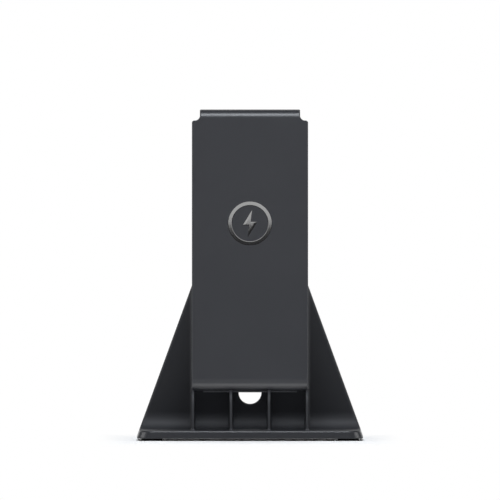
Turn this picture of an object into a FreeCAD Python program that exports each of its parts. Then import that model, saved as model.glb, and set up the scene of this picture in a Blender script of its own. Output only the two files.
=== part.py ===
import FreeCAD, Part
import Sketcher
import math
import os

# Charging stand for a pair of slide-on game controllers.
# Millimetres, +Z up, front towards -Y, origin under the middle of the part on the surface it stands on.
# The charging unit is drawn upright in its own frame: rear face on y = 0, foot on z = 0.
# Its pieces then share one placement, leaning back onto the stand's seat.

SIZES = (
    # Charging unit
    ("unit_width", 46.4),
    ("unit_height", 112.2),
    ("unit_depth", 14.4),
    ("unit_lean", 6.5),
    ("cover_wall", 1.6),
    ("end_wall", 2.0),
    ("end_round", 3.85),
    ("rear_round", 1.4),
    ("edge_round", 0.4),
    ("tab_step", 3.2),
    ("shoulder_drop", 4.75),
    ("shoulder_round", 1.0),
    ("notch_round", 2.0),
    ("parting_depth", 5.4),
    ("seam", 0.15),
    ("heel_cut", 3.0),
    ("strip_depth", 1.0),
    ("strip_drop", 0.35),
    ("strip_room", 0.1),
    # Spine frame and slide rails
    ("rail_room", 4.5),
    ("spine_wall", 1.8),
    ("cross_rib_rise", 5.0),
    ("cross_rib_wall", 1.5),
    ("rail_sheet", 0.5),
    ("rail_lip", 1.0),
    ("rail_bend", 0.4),
    ("rail_inset", 0.3),
    ("rail_setback", 0.5),
    # Contact blocks
    ("terminal_height", 9.0),
    ("terminal_clear", 0.2),
    ("terminal_play", 0.1),
    ("blade_width", 7.6),
    ("blade_height", 5.0),
    ("blade_thickness", 1.2),
    ("blade_inset", 0.9),
    ("contact_width", 0.36),
    ("contact_length", 4.2),
    ("contact_thickness", 0.15),
    ("contact_pitch", 0.7),
    ("contact_count", 10),
    # Flat cables
    ("ribbon_width", 5.0),
    ("ribbon_thickness", 0.3),
    ("ribbon_height", 5.2),
    ("ribbon_room", 0.3),
    ("socket_length", 3.0),
    ("socket_height", 1.2),
    ("socket_inset", 3.0),
    # Charging board
    ("board_side_gap", 1.4),
    ("board_height", 44.0),
    ("board_thickness", 1.2),
    ("board_standoff", 4.4),
    ("board_gap", 0.4),
    ("board_screw_inset", 4.0),
    ("board_screw_rise", 12.3),
    ("chip_size", 6.0),
    ("chip_height", 0.9),
    ("chip_level", 27.0),
    ("coil_size", 5.0),
    ("coil_height", 2.6),
    ("capacitor_width", 1.6),
    ("capacitor_length", 3.2),
    ("capacitor_height", 1.4),
    # Power inlet
    ("inlet_width", 8.94),
    ("inlet_thickness", 3.2),
    ("inlet_wall", 0.3),
    ("inlet_level", 11.5),
    ("inlet_recess", 0.4),
    ("inlet_room", 0.25),
    ("tongue_width", 6.7),
    ("tongue_thickness", 0.7),
    ("tongue_length", 4.4),
    # Screws
    ("screw_head", 3.8),
    ("screw_head_height", 1.2),
    ("screw_shank", 2.0),
    ("screw_length", 8.0),
    ("screw_room", 0.1),
    ("screw_boss", 5.2),
    ("screw_sink", 1.4),
    ("rear_boss_height", 1.6),
    ("cover_screw_inset", 4.4),
    ("cover_screw_rise", 4.8),
    ("cover_screw_drop", 6.6),
    ("board_screw_length", 4.0),
    ("rail_screw_head", 3.2),
    ("rail_screw_head_height", 0.5),
    ("rail_screw_shank", 1.6),
    ("rail_screw_rise", 32.0),
    ("rail_screw_drop", 16.1),
    # Stand
    ("base_width", 90.6),
    ("base_depth", 67.0),
    ("base_thickness", 3.2),
    ("side_lean", 20.0),
    ("corner_round", 5.0),
    ("lip_round", 0.75),
    ("under_round", 0.4),
    ("back_lean", 20.0),
    ("back_thickness", 2.6),
    ("bend_radius", 5.0),
    ("seat_from_rear", 46.0),
    ("seat_height", 19.4),
    ("seat_length", 13.2),
    ("heel_relief", 1.5),
    ("heel_height", 7.0),
    ("rib_count", 4),
    ("rib_side_inset", 0.4),
    ("rib_thickness", 1.0),
    ("rib_nose", 5.5),
    ("rib_root", 0.9),
    ("hook_width", 12.0),
    ("hook_drop", 12.4),
    ("hook_thickness", 3.0),
    ("hook_lip", 1.6),
    ("hook_height", 7.0),
    ("hook_room", 0.3),
    ("hook_bar", 3.0),
    ("cable_slot_radius", 4.55),
    ("cable_slot_low", 18.6),
    ("cable_slot_run", 7.5),
    ("cable_slot_round", 0.5),
    # Feet
    ("foot_height", 0.85),
    ("foot_radius", 4.2),
    ("foot_bevel", 0.3),
    ("foot_recess", 0.8),
    ("foot_room", 0.1),
    ("foot_side_inset", 6.1),
    ("foot_end_inset", 8.0),
)

# Places and volumes closer than this are taken as the same.
TOUCH = 0.001

doc = FreeCAD.newDocument("ChargingStand")
sheet = doc.addObject("Spreadsheet::Sheet", "Dim")
for row, (alias, size) in enumerate(SIZES, start=1):
    sheet.set("A%d" % row, str(size))
    sheet.setAlias("A%d" % row, alias)
doc.recompute()

pieces = []
cuts = []


def value(formula):
    """Number that a formula of the sheet's names gives now."""
    return float(sheet.evalExpression(formula))


def minus(formula):
    return "-(%s)" % formula


def signed(side, formula):
    """Formula on the right side (+1), or its mirror on the left (-1)."""
    return formula if side > 0 else minus(formula)


# Places in the charging unit's own frame
HALF_WIDTH = "Dim.unit_width / 2"
FRONT = "-Dim.unit_depth"
FRONT_INNER = "-(Dim.unit_depth - Dim.cover_wall)"
REAR_INNER = "-Dim.cover_wall"
PARTING = "-Dim.parting_depth"
REAR_PARTING = "-(Dim.parting_depth - Dim.seam)"
TOP = "Dim.unit_height"
TOP_INNER = "(Dim.unit_height - Dim.end_wall)"
SHOULDER = "(Dim.unit_height - Dim.shoulder_drop)"
INNER_DEPTH = "(Dim.unit_depth - 2 * Dim.cover_wall)"
MID_DEPTH = "-Dim.unit_depth / 2"
TAB_SIDE = "(Dim.unit_width / 2 - Dim.tab_step)"
SPINE_SIDE = "(Dim.unit_width / 2 - Dim.rail_room)"
SPINE_INNER = "(%s - Dim.spine_wall)" % SPINE_SIDE
RAIL_FLOOR = "(%s + Dim.rail_sheet)" % SPINE_SIDE
RAIL_EDGE = "(Dim.unit_width / 2 - Dim.rail_inset)"
LIP_BACK = "(%s - Dim.rail_sheet)" % RAIL_EDGE
BOARD_REAR = "-(Dim.cover_wall + Dim.board_standoff)"
BOARD_FRONT = "-(Dim.cover_wall + Dim.board_standoff + Dim.board_thickness)"
BOARD_FOOT = "(Dim.end_wall + Dim.spine_wall + Dim.board_gap)"
BOARD_TOP = "(%s + Dim.board_height)" % BOARD_FOOT
BOARD_SIDE = "(%s - Dim.board_side_gap)" % SPINE_INNER
SOCKET_OUTER = "(%s - Dim.socket_inset)" % BOARD_SIDE
SCREW_ROW = "(%s + Dim.cover_screw_rise)" % BOARD_TOP
CROSS_RIB = "(%s + Dim.cross_rib_rise)" % SCREW_ROW
TERMINAL_TOP = "(Dim.end_wall + Dim.terminal_height)"
STRIP_FRONT = "-(Dim.rear_round + Dim.strip_depth)"
STRIP_FOOT = "-Dim.strip_drop"
SCREW_HOLE = "(Dim.screw_shank / 2 + Dim.screw_room)"

# Places in the stand's frame, which is the part's own
UNDERSIDE = "Dim.foot_height"
BASE_TOP = "(Dim.foot_height + Dim.base_thickness)"
LIP_FRONT = "-Dim.base_depth / 2"
OUTER_BEND = "(Dim.bend_radius + Dim.back_thickness)"
OUTER_CORNER = "(Dim.base_depth / 2 + %s * (1 / tan(45 - Dim.back_lean / 2) - 1))" % OUTER_BEND
BACK_RUN = "(Dim.back_thickness / cos(Dim.back_lean))"
SEAT_Y = "(Dim.base_depth / 2 - Dim.seat_from_rear)"
SEAT_Z = "Dim.seat_height"
RIB_FRONT = "(%s - Dim.seat_length)" % SEAT_Y
OUTER_RIB = "(Dim.unit_width / 2 - Dim.rib_side_inset)"
RIB_PITCH = "(2 * %s / (Dim.rib_count - 1))" % OUTER_RIB
ROOTS_END = "(%s + Dim.rib_thickness)" % OUTER_RIB


def back_face(height, share):
    """Depth of the back plate at a height: share 0 on its front face, 1 on its rear face."""
    lean = "(%s - %s) * tan(Dim.back_lean)" % (height, UNDERSIDE)
    return "(%s - %s * (1 - %s) - %s)" % (OUTER_CORNER, BACK_RUN, share, lean)


# The back plate ends where its front face meets the rear face of the unit.
MEET_RUN = "(%s - %s + %s * tan(Dim.back_lean) - %s + %s * tan(Dim.unit_lean))" % (
    OUTER_CORNER, BACK_RUN, UNDERSIDE, SEAT_Y, SEAT_Z)
BACK_TOP = "(%s / (tan(Dim.back_lean) + tan(Dim.unit_lean)))" % MEET_RUN

# The hook sits a little below that edge; its height is in the unit's frame, which it enters.
HOOK_LEVEL = "((%s - %s) / cos(Dim.unit_lean) - Dim.hook_drop)" % (BACK_TOP, SEAT_Z)


def leaned(depth, level):
    """Depth and height in the stand's frame of a place in the unit's frame."""
    along = "%s + (%s) * cos(Dim.unit_lean) + (%s) * sin(Dim.unit_lean)" % (SEAT_Y, depth, level)
    up = "%s - (%s) * sin(Dim.unit_lean) + (%s) * cos(Dim.unit_lean)" % (SEAT_Z, depth, level)
    return along, up


def new_body(label, on_stand=False):
    """Empty body; a piece of the unit gets the unit's place on the seat."""
    body = doc.addObject("PartDesign::Body", label)
    body.Label = label
    if not on_stand:
        body.Placement = FreeCAD.Placement(FreeCAD.Vector(), FreeCAD.Rotation(FreeCAD.Vector(-1, 0, 0), 1))
        body.setExpression("Placement.Rotation.Angle", "Dim.unit_lean")
        body.setExpression("Placement.Base.y", SEAT_Y)
        body.setExpression("Placement.Base.z", SEAT_Z)
    pieces.append(body)
    return body


def origin_part(body, role):
    return [feature for feature in body.Origin.OriginFeatures if feature.Role == role][0]


def new_sketch(body, role, offset="0"):
    """Sketch on an origin plane, moved along the plane's normal (XZ_Plane faces -Y)."""
    sketch = body.newObject("Sketcher::SketchObject", body.Label + "_sketch")
    sketch.AttachmentSupport = [(origin_part(body, role), "")]
    sketch.MapMode = "FlatFace"
    sketch.setExpression("AttachmentOffset.Base.z", offset)
    return sketch


def bind(sketch, constraint, formula):
    index = sketch.addConstraint(constraint)
    sketch.setExpression("Constraints[%d]" % index, formula)


def place_point(sketch, geometry, vertex, across, up):
    """Tie a point of the sketch to two formulas, measured from the sketch's origin."""
    bind(sketch, Sketcher.Constraint("DistanceX", -1, 1, geometry, vertex, value(across)), across)
    bind(sketch, Sketcher.Constraint("DistanceY", -1, 1, geometry, vertex, value(up)), up)


def circle(sketch, across, up, radius):
    middle = FreeCAD.Vector(value(across), value(up), 0)
    ring = Part.Circle(middle, FreeCAD.Vector(0, 0, 1), value(radius))
    geometry = sketch.addGeometry(ring, False)
    place_point(sketch, geometry, 3, across, up)
    bind(sketch, Sketcher.Constraint("Radius", geometry, value(radius)), radius)


def outline(sketch, corners):
    """Closed outline through corners (across, up) or rounded corners (across, up, radius)."""
    points = [FreeCAD.Vector(value(corner[0]), value(corner[1]), 0) for corner in corners]
    count = len(corners)
    lines = []
    arcs = {}
    trims = []
    for index, corner in enumerate(corners):
        before = (points[index - 1] - points[index]).normalize()
        after = (points[(index + 1) % count] - points[index]).normalize()
        radius = value(corner[2]) if len(corner) > 2 else 0.0
        half_angle = before.getAngle(after) / 2
        trims.append((before, after, radius / math.tan(half_angle), radius / math.sin(half_angle)))
    for index in range(count):
        following = (index + 1) % count
        start = points[index] + trims[index][1] * trims[index][2]
        end = points[following] + trims[following][0] * trims[following][2]
        lines.append(sketch.addGeometry(Part.LineSegment(start, end), False))
    for index, corner in enumerate(corners):
        incoming = lines[index - 1]
        outgoing = lines[index]
        if len(corner) == 2:
            sketch.addConstraint(Sketcher.Constraint("Coincident", incoming, 2, outgoing, 1))
            place_point(sketch, outgoing, 1, corner[0], corner[1])
            continue
        before, after, trim, reach = trims[index]
        radius = value(corner[2])
        inward = (before + after).normalize()
        start = points[index] + before * trim
        middle = points[index] + inward * (reach - radius)
        end = points[index] + after * trim
        arc = sketch.addGeometry(Part.Arc(start, middle, end), False)
        first, last = (1, 2) if sketch.getPoint(arc, 1).distanceToPoint(start) < radius / 100 else (2, 1)
        sketch.addConstraint(Sketcher.Constraint("Tangent", incoming, 2, arc, first))
        sketch.addConstraint(Sketcher.Constraint("Tangent", arc, last, outgoing, 1))
        bind(sketch, Sketcher.Constraint("Radius", arc, radius), corner[2])
        mark = sketch.addGeometry(Part.Point(points[index]), True)
        place_point(sketch, mark, 1, corner[0], corner[1])
        sketch.addConstraint(Sketcher.Constraint("PointOnObject", mark, 1, incoming))
        sketch.addConstraint(Sketcher.Constraint("PointOnObject", mark, 1, outgoing))


def rectangle(sketch, left, low, right, high):
    outline(sketch, ((left, low), (right, low), (right, high), (left, high)))


def obround(sketch, across, up, half_run, radius, upright):
    """Slot outline about a middle: two half circles a run apart, along the sketch's x or y."""
    steps = ((minus(half_run), "0"), (half_run, "0"))
    if upright:
        steps = (("0", minus(half_run)), ("0", half_run))
    ends = [("(%s) + (%s)" % (across, step[0]), "(%s) + (%s)" % (up, step[1])) for step in steps]
    low, high = [FreeCAD.Vector(value(end[0]), value(end[1]), 0) for end in ends]
    along = (high - low).normalize()
    aside = FreeCAD.Vector(along.y, -along.x, 0) * value(radius)
    beyond = along * value(radius)
    near = sketch.addGeometry(Part.Arc(low - aside, low - beyond, low + aside), False)
    right = sketch.addGeometry(Part.LineSegment(low + aside, high + aside), False)
    far = sketch.addGeometry(Part.Arc(high + aside, high + beyond, high - aside), False)
    left = sketch.addGeometry(Part.LineSegment(high - aside, low - aside), False)
    sketch.addConstraint(Sketcher.Constraint("Tangent", near, 2, right, 1))
    sketch.addConstraint(Sketcher.Constraint("Tangent", right, 2, far, 1))
    sketch.addConstraint(Sketcher.Constraint("Tangent", far, 2, left, 1))
    sketch.addConstraint(Sketcher.Constraint("Tangent", left, 2, near, 1))
    sketch.addConstraint(Sketcher.Constraint("Equal", near, far))
    bind(sketch, Sketcher.Constraint("Radius", near, value(radius)), radius)
    place_point(sketch, near, 3, ends[0][0], ends[0][1])
    place_point(sketch, far, 3, ends[1][0], ends[1][1])


def pad(body, sketch, length, backwards=False, symmetric=False):
    """Material along the sketch's normal, against it, or half each way."""
    feature = body.newObject("PartDesign::Pad", body.Label + "_pad")
    feature.Profile = sketch
    feature.setExpression("Length", length)
    feature.Reversed = backwards
    feature.SideType = "Symmetric" if symmetric else "One side"
    doc.recompute()
    return feature


def pocket(body, sketch, length=None, backwards=False):
    """Cut against the sketch's normal (backwards: along it), or right through when no length is given."""
    base = body.Tip
    feature = body.newObject("PartDesign::Pocket", body.Label + "_pocket")
    feature.Profile = sketch
    feature.Reversed = backwards
    if length is None:
        feature.Type = "ThroughAll"
        feature.SideType = "Symmetric"
    else:
        feature.setExpression("Length", length)
    doc.recompute()
    cuts.append((feature, base))


def pick_edges(body, chosen):
    """The body so far, with the names of its edges that chosen(middle, edge) picks."""
    names = []
    for index, edge in enumerate(body.Tip.Shape.Edges, start=1):
        middle = edge.valueAt((edge.FirstParameter + edge.LastParameter) / 2)
        if chosen(middle, edge):
            names.append("Edge%d" % index)
    return body.Tip, names


def fillet(body, radius, chosen):
    picked = pick_edges(body, chosen)
    feature = body.newObject("PartDesign::Fillet", body.Label + "_fillet")
    feature.Base = picked
    feature.setExpression("Radius", radius)
    doc.recompute()


def bevel(body, size, chosen):
    picked = pick_edges(body, chosen)
    feature = body.newObject("PartDesign::Chamfer", body.Label + "_bevel")
    feature.Base = picked
    feature.setExpression("Size", size)
    doc.recompute()


def near(number, formula):
    """True where a number is a formula's value."""
    return abs(number - value(formula)) < TOUCH


def runs_along(edge, axis):
    """True for a straight edge along one axis, 0 to 2 for x to z."""
    if edge.Curve.TypeId != "Part::GeomLine":
        return False
    return abs(edge.Curve.Direction[axis]) > 1 - TOUCH


def notch_cuts(body):
    """The two steps beside the tab at the top, cut right through from the front."""
    sketch = new_sketch(body, "XZ_Plane")
    clear = "%s + Dim.end_wall" % TOP
    outside = "%s + Dim.end_wall" % HALF_WIDTH
    for side in (-1, 1):
        tab_side = signed(side, TAB_SIDE)
        outer = signed(side, outside)
        outline(sketch, (
            (tab_side, clear),
            (tab_side, SHOULDER, "Dim.notch_round"),
            (outer, SHOULDER),
            (outer, clear)))
    pocket(body, sketch)
    fillet(body, "Dim.shoulder_round", lambda middle, edge: (
        runs_along(edge, 1) and near(abs(middle.x), HALF_WIDTH) and near(middle.z, SHOULDER)))


def screw_places(across, low, high):
    return [(signed(side, across), level) for side in (-1, 1) for level in (low, high)]


COVER_SCREWS = screw_places(
    "%s - Dim.cover_screw_inset" % SPINE_INNER,
    SCREW_ROW,
    "%s - Dim.cover_screw_drop" % TOP_INNER)
BOARD_SCREWS = screw_places(
    "%s - Dim.board_screw_inset" % BOARD_SIDE,
    "%s + Dim.board_screw_rise" % BOARD_FOOT,
    "%s - Dim.board_screw_inset" % BOARD_TOP)


def circles(body, offset, places, radius):
    """Sketch across the depth with one circle at each place."""
    sketch = new_sketch(body, "XZ_Plane", offset)
    for across, up in places:
        circle(sketch, across, up, radius)
    return sketch


def make_front_cover():
    """Front half of the unit: a face with its ends folded back, rounded along both folds."""
    body = new_body("front_cover")
    section = new_sketch(body, "YZ_Plane")
    outline(section, (
        (FRONT, "0", "Dim.end_round"),
        (PARTING, "0"),
        (PARTING, "Dim.end_wall"),
        (FRONT_INNER, "Dim.end_wall"),
        (FRONT_INNER, TOP_INNER),
        (PARTING, TOP_INNER),
        (PARTING, TOP),
        (FRONT, TOP, "Dim.end_round")))
    pad(body, section, "Dim.unit_width", symmetric=True)
    notch_cuts(body)
    fillet(body, "Dim.edge_round", lambda middle, edge: (
        runs_along(edge, 2) and near(middle.y, FRONT) and near(abs(middle.x), HALF_WIDTH)))
    inner = "Dim.unit_depth - Dim.cover_wall"
    boss_length = "%s - Dim.rear_boss_height" % INNER_DEPTH
    bosses = circles(body, inner, COVER_SCREWS, "Dim.screw_boss / 2")
    pad(body, bosses, boss_length, backwards=True)
    boss_end = "Dim.cover_wall + Dim.rear_boss_height"
    holes = circles(body, boss_end, COVER_SCREWS, SCREW_HOLE)
    pocket(body, holes, "Dim.screw_length", backwards=True)


def make_rear_cover():
    """Rear half of the unit, with its foot strip, screw seats, board posts, inlet and hook slot."""
    body = new_body("rear_cover")
    section = new_sketch(body, "YZ_Plane")
    outline(section, (
        ("0", "0", "Dim.rear_round"),
        ("0", TOP, "Dim.rear_round"),
        (REAR_PARTING, TOP),
        (REAR_PARTING, TOP_INNER),
        (REAR_INNER, TOP_INNER),
        (REAR_INNER, "Dim.end_wall"),
        (REAR_PARTING, "Dim.end_wall"),
        (REAR_PARTING, "0")))
    pad(body, section, "Dim.unit_width", symmetric=True)
    notch_cuts(body)
    heels = new_sketch(body, "XZ_Plane")
    for side in (-1, 1):
        inner = signed(side, SPINE_SIDE)
        outer = signed(side, "%s + Dim.end_wall" % HALF_WIDTH)
        rectangle(heels, inner, "-Dim.end_wall", outer, "Dim.heel_cut")
    pocket(body, heels)
    fillet(body, "Dim.edge_round", lambda middle, edge: (
        runs_along(edge, 2) and near(middle.y, "0") and near(abs(middle.x), HALF_WIDTH)))
    strip = new_sketch(body, "YZ_Plane")
    rectangle(strip, STRIP_FRONT, STRIP_FOOT, "-Dim.rear_round", "Dim.end_wall / 2")
    pad(body, strip, "2 * %s" % SPINE_SIDE, symmetric=True)
    pad(body, circles(body, "Dim.cover_wall", COVER_SCREWS, "Dim.screw_boss / 2"), "Dim.rear_boss_height")
    pad(body, circles(body, "Dim.cover_wall", BOARD_SCREWS, "Dim.screw_boss / 2"), "Dim.board_standoff")
    sink_radius = "Dim.screw_head / 2 + Dim.screw_room"
    pocket(body, circles(body, "0", COVER_SCREWS, sink_radius), "Dim.screw_sink", backwards=True)
    clearance_depth = "Dim.cover_wall + Dim.rear_boss_height"
    pocket(body, circles(body, "0", COVER_SCREWS, SCREW_HOLE), clearance_depth, backwards=True)
    board_face = "Dim.cover_wall + Dim.board_standoff"
    pocket(body, circles(body, board_face, BOARD_SCREWS, SCREW_HOLE), "Dim.board_screw_length")
    inlet = new_sketch(body, "XZ_Plane")
    half_run = "(Dim.inlet_width - Dim.inlet_thickness) / 2"
    obround(inlet, "0", "Dim.inlet_level", half_run, "Dim.inlet_thickness / 2 + Dim.inlet_room", False)
    pocket(body, inlet, "Dim.cover_wall", backwards=True)
    slot = new_sketch(body, "XZ_Plane")
    half_slot = "(Dim.hook_width / 2 + Dim.hook_room)"
    slot_top = "(%s + Dim.hook_thickness + Dim.hook_room)" % HOOK_LEVEL
    slot_foot = "%s - Dim.hook_height - 2 * Dim.hook_room" % slot_top
    rectangle(slot, minus(half_slot), slot_foot, half_slot, slot_top)
    pocket(body, slot, "Dim.cover_wall", backwards=True)


RAIL_SCREWS = [
    (MID_DEPTH, "Dim.end_wall + Dim.rail_screw_rise"),
    (MID_DEPTH, "%s - Dim.rail_screw_drop" % SHOULDER),
]


def side_holes(body):
    """Holes for the rail screws and windows for the flat cables, cut through from side to side."""
    sketch = new_sketch(body, "YZ_Plane")
    for depth, level in RAIL_SCREWS:
        circle(sketch, depth, level, "Dim.rail_screw_shank / 2 + Dim.screw_room")
    rectangle(
        sketch,
        "%s - Dim.ribbon_thickness - Dim.ribbon_room" % BOARD_FRONT,
        "Dim.ribbon_height - Dim.ribbon_room",
        "%s + Dim.ribbon_room" % BOARD_FRONT,
        "Dim.ribbon_height + Dim.ribbon_width + Dim.ribbon_room")
    pocket(body, sketch)


def make_spine_frame():
    """Box frame between the covers: side walls for the rails, tied at the ends and by one cross rib."""
    body = new_body("spine_frame")
    ring = new_sketch(body, "XZ_Plane", "Dim.cover_wall")
    inner_foot = "(Dim.end_wall + Dim.spine_wall)"
    inner_top = "(%s - Dim.spine_wall)" % TOP_INNER
    rib_top = "%s + Dim.cross_rib_wall" % CROSS_RIB
    rectangle(ring, minus(SPINE_SIDE), "Dim.end_wall", SPINE_SIDE, TOP_INNER)
    rectangle(ring, minus(SPINE_INNER), inner_foot, SPINE_INNER, CROSS_RIB)
    rectangle(ring, minus(SPINE_INNER), rib_top, SPINE_INNER, inner_top)
    pad(body, ring, INNER_DEPTH)
    side_holes(body)


def make_rail(name, side):
    """Folded steel channel: floor on the spine, two flanges, and lips that hold the slider."""
    body = new_body(name)
    sketch = new_sketch(body, "XY_Plane", "Dim.end_wall")
    back = signed(side, SPINE_SIDE)
    floor = signed(side, RAIL_FLOOR)
    edge = signed(side, RAIL_EDGE)
    lip_back = signed(side, LIP_BACK)
    front_flange = "%s + Dim.rail_sheet" % FRONT_INNER
    rear_flange = "%s - Dim.rail_sheet" % REAR_INNER
    front_lip = "%s + Dim.rail_lip" % front_flange
    rear_lip = "%s - Dim.rail_lip" % rear_flange
    outline(sketch, (
        (back, FRONT_INNER, "Dim.rail_bend"),
        (edge, FRONT_INNER, "Dim.rail_bend"),
        (edge, front_lip),
        (lip_back, front_lip),
        (lip_back, front_flange),
        (floor, front_flange),
        (floor, rear_flange),
        (lip_back, rear_flange),
        (lip_back, rear_lip),
        (edge, rear_lip),
        (edge, REAR_INNER, "Dim.rail_bend"),
        (back, REAR_INNER, "Dim.rail_bend")))
    pad(body, sketch, "%s - Dim.rail_setback - Dim.end_wall" % SHOULDER)
    side_holes(body)


def make_terminal(name, side):
    """Contact block that fills the foot of a rail, with a thin blade standing up from it."""
    body = new_body(name)
    block = new_sketch(body, "XY_Plane", "Dim.end_wall")
    inner = signed(side, RAIL_FLOOR)
    outer = signed(side, "%s - Dim.terminal_clear" % LIP_BACK)
    front = "%s + Dim.rail_sheet + Dim.terminal_play" % FRONT_INNER
    rear = "%s - Dim.rail_sheet - Dim.terminal_play" % REAR_INNER
    rectangle(block, inner, front, outer, rear)
    pad(body, block, "Dim.terminal_height")
    blade = new_sketch(body, "XY_Plane", TERMINAL_TOP)
    blade_inner = signed(side, "%s + Dim.blade_inset" % RAIL_FLOOR)
    blade_outer = signed(side, "%s + Dim.blade_inset + Dim.blade_thickness" % RAIL_FLOOR)
    blade_front = "%s - Dim.blade_width / 2" % MID_DEPTH
    blade_rear = "%s + Dim.blade_width / 2" % MID_DEPTH
    rectangle(blade, blade_inner, blade_front, blade_outer, blade_rear)
    pad(body, blade, "Dim.blade_height")


def make_contacts(name, side):
    """Row of gilt contact strips on the outer face of a blade."""
    body = new_body(name)
    body.AllowCompound = True
    sketch = new_sketch(body, "XY_Plane", TERMINAL_TOP)
    first = "%s - (Dim.contact_count - 1) * Dim.contact_pitch / 2" % MID_DEPTH
    face = "%s + Dim.blade_inset + Dim.blade_thickness" % RAIL_FLOOR
    rectangle(
        sketch,
        signed(side, face),
        "%s - Dim.contact_width / 2" % first,
        signed(side, face + " + Dim.contact_thickness"),
        "%s + Dim.contact_width / 2" % first)
    strip = pad(body, sketch, "Dim.contact_length")
    row_of_strips = body.newObject("PartDesign::LinearPattern", name + "_row")
    row_of_strips.Originals = [strip]
    row_of_strips.Direction = (origin_part(body, "Y_Axis"), [""])
    row_of_strips.setExpression("Length", "(Dim.contact_count - 1) * Dim.contact_pitch")
    row_of_strips.setExpression("Occurrences", "Dim.contact_count")
    body.Tip = row_of_strips
    doc.recompute()


def make_ribbon(name, side):
    """Flat cable from a contact block, through rail and spine, onto the front of the board."""
    body = new_body(name)
    sketch = new_sketch(body, "XZ_Plane", minus(BOARD_FRONT))
    inner = signed(side, SOCKET_OUTER)
    outer = signed(side, RAIL_FLOOR)
    rectangle(sketch, inner, "Dim.ribbon_height", outer, "Dim.ribbon_height + Dim.ribbon_width")
    pad(body, sketch, "Dim.ribbon_thickness")


def make_ribbon_sockets():
    """The two connectors that the flat cables end in."""
    body = new_body("ribbon_sockets")
    body.AllowCompound = True
    sketch = new_sketch(body, "XZ_Plane", minus(BOARD_FRONT))
    for side in (-1, 1):
        inner = signed(side, "%s - Dim.socket_length" % SOCKET_OUTER)
        outer = signed(side, SOCKET_OUTER)
        rectangle(
            sketch,
            inner,
            "Dim.ribbon_height - Dim.ribbon_room",
            outer,
            "Dim.ribbon_height + Dim.ribbon_width + Dim.ribbon_room")
    pad(body, sketch, "Dim.socket_height")


def make_main_board():
    """Charging board on the rear cover's posts."""
    body = new_body("main_board")
    sketch = new_sketch(body, "XZ_Plane", minus(BOARD_REAR))
    rectangle(sketch, minus(BOARD_SIDE), BOARD_FOOT, BOARD_SIDE, BOARD_TOP)
    for across, up in BOARD_SCREWS:
        circle(sketch, across, up, SCREW_HOLE)
    pad(body, sketch, "Dim.board_thickness")


def make_charge_chip():
    """Square charging chip in the middle of the board."""
    body = new_body("charge_chip")
    sketch = new_sketch(body, "XZ_Plane", minus(BOARD_FRONT))
    half = "Dim.chip_size / 2"
    rectangle(sketch, minus(half), "Dim.chip_level - " + half, half, "Dim.chip_level + " + half)
    pad(body, sketch, "Dim.chip_height")


def make_board_parts():
    """Coil above the chip and a capacitor on either side of it."""
    body = new_body("board_parts")
    body.AllowCompound = True
    coil = new_sketch(body, "XZ_Plane", minus(BOARD_FRONT))
    half_coil = "Dim.coil_size / 2"
    coil_level = "(Dim.chip_level + Dim.chip_size / 2 + Dim.coil_size)"
    coil_foot = "%s - %s" % (coil_level, half_coil)
    coil_top = "%s + %s" % (coil_level, half_coil)
    rectangle(coil, minus(half_coil), coil_foot, half_coil, coil_top)
    pad(body, coil, "Dim.coil_height")
    capacitors = new_sketch(body, "XZ_Plane", minus(BOARD_FRONT))
    inner = "Dim.chip_size / 2 + Dim.capacitor_width"
    for side in (-1, 1):
        rectangle(
            capacitors,
            signed(side, inner),
            "Dim.chip_level - Dim.capacitor_length / 2",
            signed(side, inner + " + Dim.capacitor_width"),
            "Dim.chip_level + Dim.capacitor_length / 2")
    pad(body, capacitors, "Dim.capacitor_height")


def make_inlet():
    """Power inlet standing on the back of the board: a drawn steel shell around a contact tongue."""
    shell = new_body("usb_shell")
    wall = new_sketch(shell, "XZ_Plane", "Dim.inlet_recess")
    half_run = "(Dim.inlet_width - Dim.inlet_thickness) / 2"
    outer_radius = "Dim.inlet_thickness / 2"
    obround(wall, "0", "Dim.inlet_level", half_run, outer_radius, False)
    obround(wall, "0", "Dim.inlet_level", half_run, outer_radius + " - Dim.inlet_wall", False)
    pad(shell, wall, "Dim.cover_wall + Dim.board_standoff - Dim.inlet_recess")
    tongue = new_body("usb_tongue")
    blade = new_sketch(tongue, "XZ_Plane", minus(BOARD_REAR))
    half_width = "Dim.tongue_width / 2"
    half_thickness = "Dim.tongue_thickness / 2"
    rectangle(
        blade,
        minus(half_width),
        "Dim.inlet_level - " + half_thickness,
        half_width,
        "Dim.inlet_level + " + half_thickness)
    pad(tongue, blade, "Dim.tongue_length", backwards=True)


def make_screws(name, places, head_offset, length, heads_rearward):
    """Group of pan-head screws, driven in from the rear or from the front."""
    body = new_body(name)
    body.AllowCompound = True
    heads = circles(body, head_offset, places, "Dim.screw_head / 2")
    pad(body, heads, "Dim.screw_head_height", backwards=heads_rearward)
    shanks = circles(body, head_offset, places, "Dim.screw_shank / 2")
    pad(body, shanks, length, backwards=not heads_rearward)


def make_rail_screws(name, side):
    """Two low-head screws that hold a rail to the spine."""
    body = new_body(name)
    body.AllowCompound = True
    heads = new_sketch(body, "YZ_Plane", signed(side, RAIL_FLOOR))
    shanks = new_sketch(body, "YZ_Plane", signed(side, RAIL_FLOOR))
    for depth, level in RAIL_SCREWS:
        circle(heads, depth, level, "Dim.rail_screw_head / 2")
        circle(shanks, depth, level, "Dim.rail_screw_shank / 2")
    pad(body, heads, "Dim.rail_screw_head_height", backwards=side < 0)
    pad(body, shanks, "Dim.rail_sheet + Dim.spine_wall", backwards=side > 0)


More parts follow.
